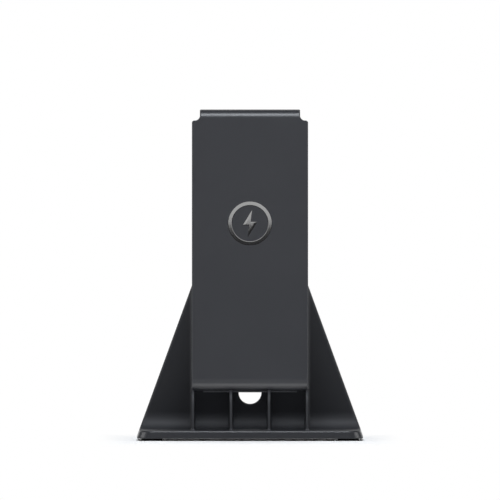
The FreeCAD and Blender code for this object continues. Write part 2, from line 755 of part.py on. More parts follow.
FOOT_X = "(Dim.base_width / 2 - Dim.foot_side_inset)"
FRONT_FOOT_Y = "(-Dim.base_depth / 2 + Dim.foot_end_inset)"
REAR_FOOT_Y = "(Dim.base_depth / 2 - %s - Dim.foot_radius - Dim.foot_recess)" % OUTER_BEND
FEET = (
    ("foot_front_left", -1, FRONT_FOOT_Y),
    ("foot_front_right", 1, FRONT_FOOT_Y),
    ("foot_rear_left", -1, REAR_FOOT_Y),
    ("foot_rear_right", 1, REAR_FOOT_Y),
)


def make_foot(name, side, depth):
    """Rubber pad seated in a recess of the base, bevelled where it meets the table."""
    body = new_body(name, on_stand=True)
    sketch = new_sketch(body, "XY_Plane")
    circle(sketch, signed(side, FOOT_X), depth, "Dim.foot_radius")
    pad(body, sketch, "Dim.foot_height + Dim.foot_recess")
    bevel(body, "Dim.foot_bevel", lambda middle, edge: (
        edge.Curve.TypeId == "Part::GeomCircle" and near(middle.z, "0")))


def make_stand_body():
    """One moulding: base with a lip, back plate folded up and over it, ribs, hook and cable slot."""
    body = new_body("stand_body", on_stand=True)
    profile = new_sketch(body, "YZ_Plane")
    outline(profile, (
        (LIP_FRONT, UNDERSIDE),
        (OUTER_CORNER, UNDERSIDE, OUTER_BEND),
        (back_face(BACK_TOP, "1"), BACK_TOP),
        (back_face(BACK_TOP, "0"), BACK_TOP),
        (back_face(BASE_TOP, "0"), BASE_TOP, "Dim.bend_radius"),
        (LIP_FRONT, BASE_TOP)))
    pad(body, profile, "Dim.base_width", symmetric=True)
    add_ribs(body)
    fillet(body, "Dim.rib_root", lambda middle, edge: (
        near(middle.z, BASE_TOP)
        and middle.y > value(RIB_FRONT) - TOUCH
        and abs(middle.x) < value(ROOTS_END)))
    add_hook(body)
    trim_sides(body)
    fillet(body, "Dim.corner_round", lambda middle, edge: (
        near(middle.y, LIP_FRONT) and not runs_along(edge, 0)))
    fillet(body, "Dim.lip_round", lambda middle, edge: (
        runs_along(edge, 0) and near(middle.y, LIP_FRONT) and near(middle.z, BASE_TOP)))
    fillet(body, "Dim.under_round", lambda middle, edge: (
        runs_along(edge, 0) and near(middle.y, LIP_FRONT) and near(middle.z, UNDERSIDE)))
    slot = new_sketch(body, "XZ_Plane")
    half_run = "Dim.cable_slot_run / 2"
    obround(slot, "0", "Dim.cable_slot_low + " + half_run, half_run, "Dim.cable_slot_radius", True)
    pocket(body, slot)
    slot_foot = "Dim.cable_slot_low - Dim.cable_slot_radius"
    slot_top = "Dim.cable_slot_low + Dim.cable_slot_run + Dim.cable_slot_radius"
    fillet(body, "Dim.cable_slot_round", lambda middle, edge: (
        near(middle.y, back_face(str(middle.z), "0"))
        and abs(middle.x) < value("Dim.cable_slot_radius") + TOUCH
        and value(slot_foot) - TOUCH < middle.z < value(slot_top) + TOUCH))
    recesses = new_sketch(body, "XY_Plane", UNDERSIDE)
    for name, side, depth in FEET:
        circle(recesses, signed(side, FOOT_X), depth, "Dim.foot_radius + Dim.foot_room")
    pocket(body, recesses, "Dim.foot_recess", backwards=True)


def trim_sides(body):
    """Cut everything beyond the two side planes, which lean in towards the top."""
    sketch = new_sketch(body, "XZ_Plane")
    low = "(%s - Dim.base_thickness)" % UNDERSIDE
    high = "(%s + Dim.base_thickness)" % BACK_TOP
    outer = "Dim.base_width"
    low_side = "Dim.base_width / 2 - (%s - %s) * tan(Dim.side_lean)" % (low, UNDERSIDE)
    high_side = "Dim.base_width / 2 - (%s - %s) * tan(Dim.side_lean)" % (high, UNDERSIDE)
    for side in (-1, 1):
        outline(sketch, (
            (signed(side, low_side), low),
            (signed(side, outer), low),
            (signed(side, outer), high),
            (signed(side, high_side), high)))
    pocket(body, sketch)


def add_ribs(body):
    """Ribs between base and back plate, notched as a seat for the unit and for the strip under it."""
    sketch = new_sketch(body, "YZ_Plane", minus(OUTER_RIB))
    rooted = "(%s - Dim.base_thickness / 2)" % BASE_TOP
    nose = "%s + Dim.seat_length * tan(Dim.unit_lean)" % SEAT_Z
    notch_front = "%s - Dim.strip_room" % STRIP_FRONT
    notch_foot = "%s - Dim.strip_room" % STRIP_FOOT
    outline(sketch, (
        (RIB_FRONT, rooted),
        (back_face(rooted, "0.5"), rooted, "Dim.bend_radius + Dim.back_thickness / 2"),
        (back_face(BACK_TOP, "0.5"), BACK_TOP),
        (back_face(BACK_TOP, "0"), BACK_TOP),
        leaned("0", "Dim.heel_height"),
        leaned("Dim.heel_relief", "Dim.heel_height"),
        leaned("Dim.heel_relief", notch_foot),
        leaned(notch_front, notch_foot),
        leaned(notch_front, "0"),
        (RIB_FRONT, nose, "Dim.rib_nose")))
    rib = pad(body, sketch, "Dim.rib_thickness", symmetric=True)
    ribs = body.newObject("PartDesign::LinearPattern", "ribs")
    ribs.Originals = [rib]
    ribs.Direction = (origin_part(body, "X_Axis"), [""])
    ribs.setExpression("Length", "2 * %s" % OUTER_RIB)
    ribs.setExpression("Occurrences", "Dim.rib_count")
    body.Tip = ribs
    doc.recompute()


def add_hook(body):
    """Bar between the middle ribs, with an upturned hook that the unit's rear wall drops behind."""
    bar = new_sketch(body, "YZ_Plane")
    bar_top = "%s + Dim.hook_height" % HOOK_LEVEL
    outline(bar, (
        leaned("0", HOOK_LEVEL),
        leaned("Dim.hook_bar", HOOK_LEVEL),
        leaned("Dim.hook_bar", bar_top),
        leaned("0", bar_top)))
    pad(body, bar, RIB_PITCH, symmetric=True)
    hook = new_sketch(body, "YZ_Plane")
    gap = "-(Dim.cover_wall + Dim.hook_room)"
    tip = "-(Dim.cover_wall + Dim.hook_room + Dim.hook_lip)"
    tongue_top = "%s + Dim.hook_thickness" % HOOK_LEVEL
    outline(hook, (
        leaned("Dim.hook_bar / 2", HOOK_LEVEL),
        leaned("Dim.hook_bar / 2", tongue_top),
        leaned(gap, tongue_top),
        leaned(gap, bar_top),
        leaned(tip, bar_top),
        leaned(tip, HOOK_LEVEL)))
    pad(body, hook, "Dim.hook_width", symmetric=True)


make_front_cover()
make_rear_cover()
make_spine_frame()
for side_name, side_sign in (("left", -1), ("right", 1)):
    make_rail(side_name + "_rail", side_sign)
    make_terminal(side_name + "_terminal", side_sign)
    make_contacts(side_name + "_contacts", side_sign)
    make_ribbon(side_name + "_ribbon", side_sign)
    make_rail_screws(side_name + "_rail_screws", side_sign)
make_ribbon_sockets()
make_main_board()
make_charge_chip()
make_board_parts()
make_inlet()
make_screws("cover_screws", COVER_SCREWS, "Dim.screw_sink", "Dim.screw_length", True)
make_screws("board_screws", BOARD_SCREWS, minus(BOARD_FRONT), "Dim.board_screw_length", False)
make_stand_body()
for foot_name, foot_side, foot_depth in FEET:
    make_foot(foot_name, foot_side, foot_depth)

doc.recompute()
for item in doc.Objects:
    if "Invalid" in item.State or "Error" in item.State:
        raise RuntimeError("%s did not build: %s" % (item.Label, item.State))
for feature, base in cuts:
    if feature.Shape.Volume > base.Shape.Volume - TOUCH:
        raise RuntimeError("%s cut nothing" % feature.Label)
for piece in pieces:
    if piece.Shape.isNull() or not piece.Shape.isValid():
        raise RuntimeError("%s has no valid shape" % piece.Label)

os.makedirs("parts", exist_ok=True)
for piece in pieces:
    piece.Shape.exportStep("parts/%s.step" % piece.Label)
    print(piece.Label, len(piece.Shape.Solids), "solids", round(piece.Shape.Volume, 2), "mm3")
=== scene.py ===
# %% [markdown]
# # A charging stand for a pair of slide-on controllers
# A slim upright unit holds a charging board between two moulded covers. A folded steel rail runs down
# either side of it, and a controller slides onto each rail. The unit leans on a stand that is one
# moulding: a base, a back plate folded up and over it, and four ribs that carry the unit. The solids come
# from CAD and stay as they are. This lesson gives each one its finish, adds the small pieces that a CAD
# model leaves plain, and lights the whole as a small studio would.

import math

import bmesh
import bpy
import numpy as np
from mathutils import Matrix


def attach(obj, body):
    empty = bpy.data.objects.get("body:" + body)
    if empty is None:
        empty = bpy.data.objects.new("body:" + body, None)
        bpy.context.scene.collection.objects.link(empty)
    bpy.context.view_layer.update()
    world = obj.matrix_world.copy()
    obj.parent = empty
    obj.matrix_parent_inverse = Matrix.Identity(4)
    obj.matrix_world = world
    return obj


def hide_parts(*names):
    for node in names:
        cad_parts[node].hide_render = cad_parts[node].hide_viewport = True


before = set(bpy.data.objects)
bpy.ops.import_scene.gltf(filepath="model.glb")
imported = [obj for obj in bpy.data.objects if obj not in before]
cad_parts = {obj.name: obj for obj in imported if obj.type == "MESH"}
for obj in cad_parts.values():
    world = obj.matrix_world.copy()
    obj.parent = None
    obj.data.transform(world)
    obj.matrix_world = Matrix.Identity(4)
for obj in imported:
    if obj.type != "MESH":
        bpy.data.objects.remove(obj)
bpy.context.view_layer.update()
scene = bpy.context.scene
scene.view_settings.view_transform = "Standard"
MM = 0.001

# %% [markdown]
# ## Two helpers for every finish
# Colours are easiest to write as the hex values that a screen shows, but shaders work with linear light,
# so one function converts them. A material is a small graph, and one function adds a node to it: plain
# settings such as a mode, numbers on its sockets, and the outputs that feed it. Writing each node in one
# call keeps a finish short enough to read as a recipe.


# %% Colours and nodes
def linear(hex_code):
    """sRGB hex to linear RGBA: divide by 12.92 near black, and a 2.4 power curve above it."""
    shares = np.array([int(hex_code[place:place + 2], 16) for place in (1, 3, 5)]) / 255.0
    light = np.where(shares <= 0.04045, shares / 12.92, ((shares + 0.055) / 1.055) ** 2.4)
    return (*light.tolist(), 1.0)


def add(tree, kind, numbers=None, sources=None, **settings):
    """Add one node with its settings, the numbers on its sockets and the outputs linked to them."""
    node = tree.nodes.new(kind)
    for name, setting in settings.items():
        setattr(node, name, setting)
    for socket, number in (numbers or {}).items():
        node.inputs[socket].default_value = number
    for socket, output in (sources or {}).items():
        tree.links.new(output, node.inputs[socket])
    return node


def start_finish(name):
    """A new material with an empty graph, and its Object coordinates, which sit still on the piece."""
    finish = bpy.data.materials.new(name)
    finish.use_nodes = True
    finish.node_tree.nodes.clear()
    place = add(finish.node_tree, "ShaderNodeTexCoord").outputs["Object"]
    return finish, finish.node_tree, place


def end_finish(finish, tree, shader):
    add(tree, "ShaderNodeOutputMaterial", sources={"Surface": shader.outputs[0]})
    print("finish", finish.name, "nodes", len(tree.nodes))
    return finish


def dress(finish, *names):
    """Give CAD nodes a finish through their own material slots."""
    for name in names:
        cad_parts[name].material_slots[0].material = finish
    print(finish.name, "on", ", ".join(names))


# %% [markdown]
# ## The covers: ABS with a spark-eroded texture
# Both covers are injection moulded in charcoal ABS. The steel mould is spark eroded, which leaves pits
# about a tenth of a millimetre across, and the plastic copies them: a soft satin sheen with no sharp
# reflections. A painted texture would slide over the rounded ends, so the grain is a 3-D noise that the
# surface cuts through. The grain is drawn three times coarser than the real one, because the real one is
# finer than a pixel.

# %% Covers
COVER_GRAIN = 0.33 * MM
PIT_DEPTH = 0.02 * MM
FLOW_MARK = 22.0 * MM

cover_abs, tree, place = start_finish("abs_charcoal_spark_eroded")
grain = add(tree, "ShaderNodeTexNoise", {"Scale": 1 / COVER_GRAIN, "Detail": 2.0}, {"Vector": place})
flow = add(tree, "ShaderNodeTexNoise", {"Scale": 1 / FLOW_MARK, "Detail": 3.0}, {"Vector": place})
tint = add(tree, "ShaderNodeMixRGB", {"Color1": linear("#292a2e"), "Color2": linear("#2c2d31")},
           {"Fac": flow.outputs["Fac"]})
gloss = add(tree, "ShaderNodeMapRange", {"To Min": 0.32, "To Max": 0.38}, {"Value": flow.outputs["Fac"]})
pits = add(tree, "ShaderNodeBump", {"Strength": 0.12, "Distance": PIT_DEPTH},
           {"Height": grain.outputs["Fac"]})
shader = add(tree, "ShaderNodeBsdfPrincipled", {"IOR": 1.53},
             {"Base Color": tint.outputs["Color"], "Roughness": gloss.outputs["Result"],
              "Normal": pits.outputs["Normal"]})
end_finish(cover_abs, tree, shader)
dress(cover_abs, "front_cover", "rear_cover")

# %% [markdown]
# ## The stand: the same ABS, blasted matt with a polished rim
# The stand is moulded in the same charcoal plastic. Its mould is blasted matt where the plate and the
# ribs are formed, so the light spreads in a wide soft band along the bend at the foot of the plate. The
# rim of the base, the edge that a hand takes hold of, is polished, and catches a thin bright line. One
# height splits the two, and it lies on the base's flat top, where the change doesn't show. A larger noise
# stands for the faint flow of the plastic around the ribs.

# %% Stand
BLAST_PIT = 0.4 * MM
RIM_LEVEL = 3.75 * MM
MATT_LEVEL = 4.0 * MM

stand_abs, tree, place = start_finish("abs_charcoal_blasted_mould")
blast = add(tree, "ShaderNodeTexNoise", {"Scale": 1 / BLAST_PIT, "Detail": 2.0}, {"Vector": place})
flow = add(tree, "ShaderNodeTexNoise", {"Scale": 1 / FLOW_MARK, "Detail": 3.0}, {"Vector": place})
level = add(tree, "ShaderNodeSeparateXYZ", sources={0: place}).outputs["Z"]
matt = add(tree, "ShaderNodeMapRange",
           {"From Min": RIM_LEVEL, "From Max": MATT_LEVEL, "To Min": 0.3, "To Max": 0.62}, {"Value": level})
tint = add(tree, "ShaderNodeMixRGB", {"Color1": linear("#25262a"), "Color2": linear("#28292d")},
           {"Fac": flow.outputs["Fac"]})
gloss = add(tree, "ShaderNodeMath", {1: 0.06}, {0: flow.outputs["Fac"], 2: matt.outputs["Result"]},
            operation="MULTIPLY_ADD")
pits = add(tree, "ShaderNodeBump", {"Strength": 0.06, "Distance": PIT_DEPTH},
           {"Height": blast.outputs["Fac"]})
shader = add(tree, "ShaderNodeBsdfPrincipled", {"IOR": 1.53},
             {"Base Color": tint.outputs["Color"], "Roughness": gloss.outputs[0],
              "Normal": pits.outputs["Normal"]})
end_finish(stand_abs, tree, shader)
dress(stand_abs, "stand_body")

# %% [markdown]
# ## The inner frame and the contact blocks: glass-filled nylon
# The frame between the covers and the blocks at the foot of each rail take the load of a controller, so
# they are moulded in black nylon filled with short glass fibres. The fibres float up in the mould and
# leave a faint pale fleck. Stretched noise draws flecks along the moulding, and a narrow band of it is
# picked out.

# %% Nylon
FIBRE_LENGTH = 1.2 * MM
FIBRE_WIDTH = 0.25 * MM

nylon, tree, place = start_finish("nylon_black_glass_filled")
along = add(tree, "ShaderNodeMapping", {"Scale": (1 / FIBRE_WIDTH, 1 / FIBRE_WIDTH, 1 / FIBRE_LENGTH)},
            {"Vector": place})
fibre = add(tree, "ShaderNodeTexNoise", {"Scale": 1.0, "Detail": 2.0},
            {"Vector": along.outputs["Vector"]})
fleck = add(tree, "ShaderNodeMapRange", {"From Min": 0.55, "From Max": 0.75},
            {"Value": fibre.outputs["Fac"]})
tint = add(tree, "ShaderNodeMixRGB", {"Color1": linear("#18191a"), "Color2": linear("#242526")},
           {"Fac": fleck.outputs["Result"]})
raised = add(tree, "ShaderNodeBump", {"Strength": 0.15, "Distance": PIT_DEPTH},
             {"Height": fibre.outputs["Fac"]})
shader = add(tree, "ShaderNodeBsdfPrincipled", {"Roughness": 0.52, "IOR": 1.53},
             {"Base Color": tint.outputs["Color"], "Normal": raised.outputs["Normal"]})
end_finish(nylon, tree, shader)
dress(nylon, "spine_frame", "left_terminal", "right_terminal", "ribbon_sockets", "usb_tongue")

# %% [markdown]
# ## The rails and the inlet shell: cold-rolled steel
# Each rail is folded from half-millimetre strip. Rolling draws fine lines along the strip, and they
# spread a reflection across it. The rails lean with the unit, so the pattern is turned by the same angle
# before it is stretched along the rail. The lines are drawn a quarter of a millimetre apart, coarser than
# the real ones, to show at this size.

# %% Steel
UNIT_LEAN = math.radians(6.5)
ROLL_LINE = 0.25 * MM
ROLL_LENGTH = 30.0 * MM
ROLL_DEPTH = 0.01 * MM

steel, tree, place = start_finish("steel_cold_rolled_strip")
upright = add(tree, "ShaderNodeMapping", {"Rotation": (UNIT_LEAN, 0.0, 0.0)}, {"Vector": place})
strip = add(tree, "ShaderNodeMapping", {"Scale": (1 / ROLL_LINE, 1 / ROLL_LINE, 1 / ROLL_LENGTH)},
            {"Vector": upright.outputs["Vector"]})
lines = add(tree, "ShaderNodeTexNoise", {"Scale": 1.0, "Detail": 3.0}, {"Vector": strip.outputs["Vector"]})
tint = add(tree, "ShaderNodeMixRGB", {"Color1": linear("#a7a9ab"), "Color2": linear("#c3c5c7")},
           {"Fac": lines.outputs["Fac"]})
gloss = add(tree, "ShaderNodeMapRange", {"To Min": 0.26, "To Max": 0.42}, {"Value": lines.outputs["Fac"]})
scored = add(tree, "ShaderNodeBump", {"Strength": 0.1, "Distance": ROLL_DEPTH},
             {"Height": lines.outputs["Fac"]})
shader = add(tree, "ShaderNodeBsdfPrincipled", {"Metallic": 1.0},
             {"Base Color": tint.outputs["Color"], "Roughness": gloss.outputs["Result"],
              "Normal": scored.outputs["Normal"]})
end_finish(steel, tree, shader)
dress(steel, "left_rail", "right_rail", "usb_shell")

# %% [markdown]
# ## The contacts: gold flash on a copper alloy
# The strips on each blade carry the charging current. A flash of gold keeps them from tarnishing, and the
# sliding controller polishes it. The gold is a metal with a warm colour and low roughness, a little
# duller in patches where it has worn.

# %% Gold
WORN_PATCH = 0.9 * MM

gold, tree, place = start_finish("gold_flash_on_copper_alloy")
patch = add(tree, "ShaderNodeTexNoise", {"Scale": 1 / WORN_PATCH, "Detail": 2.0}, {"Vector": place})
tint = add(tree, "ShaderNodeMixRGB", {"Color1": linear("#e3c173"), "Color2": linear("#cfa556")},
           {"Fac": patch.outputs["Fac"]})
gloss = add(tree, "ShaderNodeMapRange", {"To Min": 0.16, "To Max": 0.34}, {"Value": patch.outputs["Fac"]})
shader = add(tree, "ShaderNodeBsdfPrincipled", {"Metallic": 1.0},
             {"Base Color": tint.outputs["Color"], "Roughness": gloss.outputs["Result"]})
end_finish(gold, tree, shader)
dress(gold, "left_contacts", "right_contacts")

# %% [markdown]
# ## Inside the unit: flat cables, board and parts
# None of this shows while the unit is closed, but the pieces are there when it is taken apart. The flat
# cables are amber polyimide film with copper lines half a millimetre apart. The board is glass laminate
# under green solder mask, over tracks that run across it. The parts on it are moulded in matt black
# epoxy.

# %% Flat cables
TRACE_PITCH = 0.5 * MM
WAVES_PER_UNIT = 20.0 / (2 * math.pi)

film, tree, place = start_finish("polyimide_film_amber")
traces = add(tree, "ShaderNodeTexWave", {"Scale": 1 / TRACE_PITCH / WAVES_PER_UNIT, "Distortion": 0.0},
             {"Vector": place}, bands_direction="Z")
tint = add(tree, "ShaderNodeMixRGB", {"Color1": linear("#8a4f16"), "Color2": linear("#b97a35")},
           {"Fac": traces.outputs["Fac"]})
shader = add(tree, "ShaderNodeBsdfPrincipled", {"Roughness": 0.3, "IOR": 1.7},
             {"Base Color": tint.outputs["Color"]})
end_finish(film, tree, shader)
dress(film, "left_ribbon", "right_ribbon")

# %% Board and its parts
TRACK_CELL = 2.5 * MM
MOULD_GRIT = 0.2 * MM

laminate, tree, place = start_finish("glass_laminate_green_solder_mask")
cells = add(tree, "ShaderNodeTexVoronoi", {"Scale": 1 / TRACK_CELL}, {"Vector": place},
            feature="DISTANCE_TO_EDGE", distance="EUCLIDEAN")
track = add(tree, "ShaderNodeMapRange", {"From Min": 0.05, "From Max": 0.12},
            {"Value": cells.outputs["Distance"]})
tint = add(tree, "ShaderNodeMixRGB", {"Color1": linear("#1f6b38"), "Color2": linear("#15502a")},
           {"Fac": track.outputs["Result"]})
shader = add(tree, "ShaderNodeBsdfPrincipled", {"Roughness": 0.34, "IOR": 1.55},
             {"Base Color": tint.outputs["Color"]})
end_finish(laminate, tree, shader)
dress(laminate, "main_board")

epoxy, tree, place = start_finish("epoxy_moulded_black")
grit = add(tree, "ShaderNodeTexNoise", {"Scale": 1 / MOULD_GRIT, "Detail": 1.0}, {"Vector": place})
tint = add(tree, "ShaderNodeMixRGB", {"Color1": linear("#141415"), "Color2": linear("#1d1d1f")},
           {"Fac": grit.outputs["Fac"]})
shader = add(tree, "ShaderNodeBsdfPrincipled", {"Roughness": 0.62, "IOR": 1.55},
             {"Base Color": tint.outputs["Color"]})
end_finish(epoxy, tree, shader)
dress(epoxy, "charge_chip", "board_parts")

# %% [markdown]
# ## The feet: silicone rubber
# Four pads are pressed into recesses under the base. Silicone rubber is matt, picks up a little dust, and
# has a soft bloom. High roughness gives the first, a pale noise in small spots the second, and a touch of
# sheen the last.

# %% Rubber
DUST_SPOT = 0.4 * MM

rubber, tree, place = start_finish("silicone_rubber_black")
dust = add(tree, "ShaderNodeTexNoise", {"Scale": 1 / DUST_SPOT, "Detail": 2.0}, {"Vector": place})
speck = add(tree, "ShaderNodeMapRange", {"From Min": 0.6, "From Max": 0.8, "To Max": 0.5},
            {"Value": dust.outputs["Fac"]})
tint = add(tree, "ShaderNodeMixRGB", {"Color1": linear("#131314"), "Color2": linear("#2a2a2b")},
           {"Fac": speck.outputs["Result"]})
shader = add(tree, "ShaderNodeBsdfPrincipled", {"Roughness": 0.8, "IOR": 1.41, "Sheen Weight": 0.15},
             {"Base Color": tint.outputs["Color"]})
end_finish(rubber, tree, shader)
dress(rubber, "foot_front_left", "foot_front_right", "foot_rear_left", "foot_rear_right")

# %% [markdown]
# ## A frame for places on the unit
# The unit leans back on its seat, so places on it are easiest to give in its own upright frame: across,
# depth (zero on the rear face, negative towards the front) and level (zero at its foot). One function
# leans them.

# %% Places on the unit
SEAT_Y = -12.5 * MM
SEAT_Z = 19.4 * MM
RAIL_DEPTH = -7.2 * MM
RAIL_TOP = 106.95 * MM
SHARP = math.radians(35.0)


def lean(across, depth, level):
    """Turn depth and level back by the lean, then move them to the seat; across stays as it is."""
    y = SEAT_Y + depth * math.cos(UNIT_LEAN) + level * math.sin(UNIT_LEAN)
    z = SEAT_Z - depth * math.sin(UNIT_LEAN) + level * math.cos(UNIT_LEAN)
    return np.stack(np.broadcast_arrays(across, y, z), axis=-1)


def round_turn(count):
    """The angles of count points, evenly spaced round a full turn."""
    return np.linspace(0.0, 2 * np.pi, count, endpoint=False)


def grid_faces(rows, columns, bands, start=0):
    """Quads between rings of points: each ring closes on itself, and bands is the number of gaps between
    rings (one less than the rings for a tube, as many as the rings for a closed loop)."""
    row, column = np.meshgrid(np.arange(bands), np.arange(columns), indexing="ij")
    beside = (column + 1) % columns
    above = (row + 1) % rows
    quads = np.stack((row * columns + column, row * columns + beside,
                      above * columns + beside, above * columns + column), axis=-1)
    return (quads.reshape(-1, 4) + start).tolist()


def tube_faces(rows, columns, start=0):
    """Quads between rings, with the first and the last ring each closed by one flat face."""
    first = list(range(start, start + columns))
    last = [index + (rows - 1) * columns for index in first]
    return grid_faces(rows, columns, rows - 1, start) + [first, last]


def make_piece(name, points, faces, finish):
    """Put points and faces into a mesh, turn its faces outwards, and let it ride with the CAD."""
    mesh = bpy.data.meshes.new(name)
    mesh.from_pydata(points.reshape(-1, 3).tolist(), [], faces)
    sheet = bmesh.new()
    sheet.from_mesh(mesh)
    bmesh.ops.recalc_face_normals(sheet, faces=sheet.faces)
    sheet.to_mesh(mesh)
    sheet.free()
    mesh.shade_smooth()
    mesh.set_sharp_from_angle(angle=SHARP)
    piece = bpy.data.objects.new(name, mesh)
    scene.collection.objects.link(piece)
    mesh.materials.append(finish)
    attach(piece, "root")
    print("piece", name, "points", len(mesh.vertices), "faces", len(mesh.polygons))
    return piece


print("rail top at", lean(0.0, RAIL_DEPTH, RAIL_TOP).round(4))

# %% [markdown]
# ## The screws: zinc-plated pan heads with a cross recess
# Four screws close the covers from the rear and two hold each rail. In CAD they are plain cylinders. Here
# each one is a single sheet of points: round it, and from the middle of its head out over the rim and
# down the shank. The cross is a dip in the head's height, deepest in the middle and shallower along its
# four arms.

# %% Zinc plating
PLATING_CELL = 0.3 * MM

zinc, tree, place = start_finish("steel_zinc_plated")
cells = add(tree, "ShaderNodeTexNoise", {"Scale": 1 / PLATING_CELL, "Detail": 2.0}, {"Vector": place})
tint = add(tree, "ShaderNodeMixRGB", {"Color1": linear("#8f9295"), "Color2": linear("#a9acae")},
           {"Fac": cells.outputs["Fac"]})
gloss = add(tree, "ShaderNodeMapRange", {"To Min": 0.28, "To Max": 0.42}, {"Value": cells.outputs["Fac"]})
shader = add(tree, "ShaderNodeBsdfPrincipled", {"Metallic": 1.0},
             {"Base Color": tint.outputs["Color"], "Roughness": gloss.outputs["Result"]})
end_finish(zinc, tree, shader)
dress(zinc, "board_screws", "cover_screws", "left_rail_screws", "right_rail_screws")

# %% Screw shape
# Shares of a head's radius
HEAD_MIDDLE = 0.004
HEAD_FLAT = 0.86
HEAD_RIM = 0.14
ARM_SOFT = 0.1
ARM_FADE = 0.45
ARM_END = 0.62
# Points round a screw, and steps across its head and over its rim
SCREW_SIDES = 64
FLAT_STEPS = 30
RIM_STEPS = 7


def screw_sheet(head_radius, head_height, shank_radius, length, arm_width, arm_depth):
    """Rings round the axis, each a radius and a height: over the head with a rounded rim, then down the
    shank. The head's height loses arm_depth where the distance to either arm's middle line is under half its
    width. The dip fades over ARM_SOFT at the arm's sides, and over ARM_FADE towards its end."""
    turn = round_turn(SCREW_SIDES)
    flat = np.linspace(HEAD_MIDDLE, HEAD_FLAT, FLAT_STEPS) * head_radius
    rim = np.linspace(0.0, np.pi / 2, RIM_STEPS)[1:]
    rim_size = HEAD_RIM * head_radius
    radius = np.concatenate((flat, flat[-1] + rim_size * np.sin(rim), np.array((1.0, 1.0)) * head_radius,
                             np.array((1.0, 1.0, 0.8)) * shank_radius))
    height = np.concatenate((np.full(len(flat), head_height), head_height - rim_size * (1 - np.cos(rim)),
                             np.array((0.5 * head_height, 0.0)),
                             np.array((0.0, -0.95, -1.0)) * length))
    u = radius[:, None] * np.cos(turn)
    v = radius[:, None] * np.sin(turn)
    soft = ARM_SOFT * head_radius
    beside = np.minimum(np.abs(u), np.abs(v))
    across = np.clip((arm_width / 2 - beside) / soft + 0.5, 0.0, 1.0)
    outward = np.clip((ARM_END * head_radius - radius[:, None]) / (ARM_FADE * head_radius), 0.0, 1.0)
    on_head = height[:, None] > 0.9 * head_height
    dip = arm_depth * across * outward * on_head
    return u, v, height[:, None] - dip


def make_screws(name, node, places, towards, sizes):
    """Copies of one screw sheet, each placed by a function from its own frame to the row's."""
    u, v, w = screw_sheet(*sizes)
    points = np.stack([towards(spot, u, v, w) for spot in places])
    faces = [face for index in range(len(places)) for face in tube_faces(*u.shape, start=index * u.size)]
    piece = make_piece(name, points, faces, zinc)
    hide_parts(node)


COVER_SCREW = (1.9 * MM, 1.2 * MM, 1.0 * MM, 8.0 * MM, 0.7 * MM, 0.8 * MM)
COVER_SPOTS = [(side * 12.5 * MM, level * MM) for side in (-1, 1) for level in (53.0, 103.6)]
HEAD_SEAT = -1.4 * MM
make_screws("cover_screw_heads", "cover_screws", COVER_SPOTS,
            lambda spot, u, v, w: lean(spot[0] - u, HEAD_SEAT + w, spot[1] + v), COVER_SCREW)

RAIL_SCREW = (1.6 * MM, 0.5 * MM, 0.8 * MM, 2.3 * MM, 0.6 * MM, 0.35 * MM)
RAIL_SPOTS = [34.0 * MM, 91.35 * MM]
RAIL_FLOOR = 19.2 * MM
make_screws("right_rail_screw_heads", "right_rail_screws", RAIL_SPOTS,
            lambda spot, u, v, w: lean(RAIL_FLOOR + w, RAIL_DEPTH + u, spot + v), RAIL_SCREW)
make_screws("left_rail_screw_heads", "left_rail_screws", RAIL_SPOTS,
            lambda spot, u, v, w: lean(-RAIL_FLOOR - w, RAIL_DEPTH - u, spot + v), RAIL_SCREW)

# %% [markdown]
# ## The mark on the face: gloss black ink
# A plain charging bolt in a ring is printed on the upper half of the face with thick gloss ink, which
# shines where the cover round it is satin. The ink stands a few hundredths of a millimetre proud, so both
# are thin solids with a rounded edge. The bolt's outline is rounded at the corners, and its rings of
# points run from the outline up over the edge and in to the middle, shrinking towards one point. That
# works because every part of the outline can be seen from that point. The ring is a small section carried
# round a circle.

# %% Ink
INK_RIPPLE = 1.5 * MM
RIPPLE_DEPTH = 0.02 * MM

ink, tree, place = start_finish("ink_gloss_black_printed")
ripple = add(tree, "ShaderNodeTexNoise", {"Scale": 1 / INK_RIPPLE, "Detail": 1.0}, {"Vector": place})
wave = add(tree, "ShaderNodeBump", {"Strength": 0.05, "Distance": RIPPLE_DEPTH},
           {"Height": ripple.outputs["Fac"]})
tint = add(tree, "ShaderNodeMixRGB", {"Color1": linear("#060607"), "Color2": linear("#0a0a0b")},
           {"Fac": ripple.outputs["Fac"]})
shader = add(tree, "ShaderNodeBsdfPrincipled", {"Roughness": 0.05, "IOR": 1.5},
             {"Base Color": tint.outputs["Color"], "Normal": wave.outputs["Normal"]})
end_finish(ink, tree, shader)

# %% Mark shape
RING_SIDES = 96
ARCH_STEPS = 13


def rounded_outline(corners, radius, steps):
    """Replace each corner by an arc: a quadratic curve from a radius before it to a radius after it."""
    before = np.roll(corners, 1, axis=0) - corners
    after = np.roll(corners, -1, axis=0) - corners
    start = corners + radius * before / np.linalg.norm(before, axis=1, keepdims=True)
    end = corners + radius * after / np.linalg.norm(after, axis=1, keepdims=True)
    share = np.linspace(0.0, 1.0, steps)[None, :, None]
    first = (1 - share) ** 2 * start[:, None] + 2 * share * (1 - share) * corners[:, None]
    return (first + share ** 2 * end[:, None]).reshape(-1, 2)


def ink_solid(outline, thickness, edge):
    """Rings of the outline: down at the face, up the side, over a rounded edge, then shrunk to the middle.
    edge is the share of the outline's size that the rounding takes."""
    shrink = np.array((1.0, 1.0, 1 - edge * 0.3, 1 - edge, 0.6, 0.3))
    height = np.array((0.0, 0.6, 0.9, 1.0, 1.0, 1.0)) * thickness
    ring = shrink[:, None, None] * outline
    return ring[..., 0], ring[..., 1], np.broadcast_to(height[:, None], ring.shape[:2])


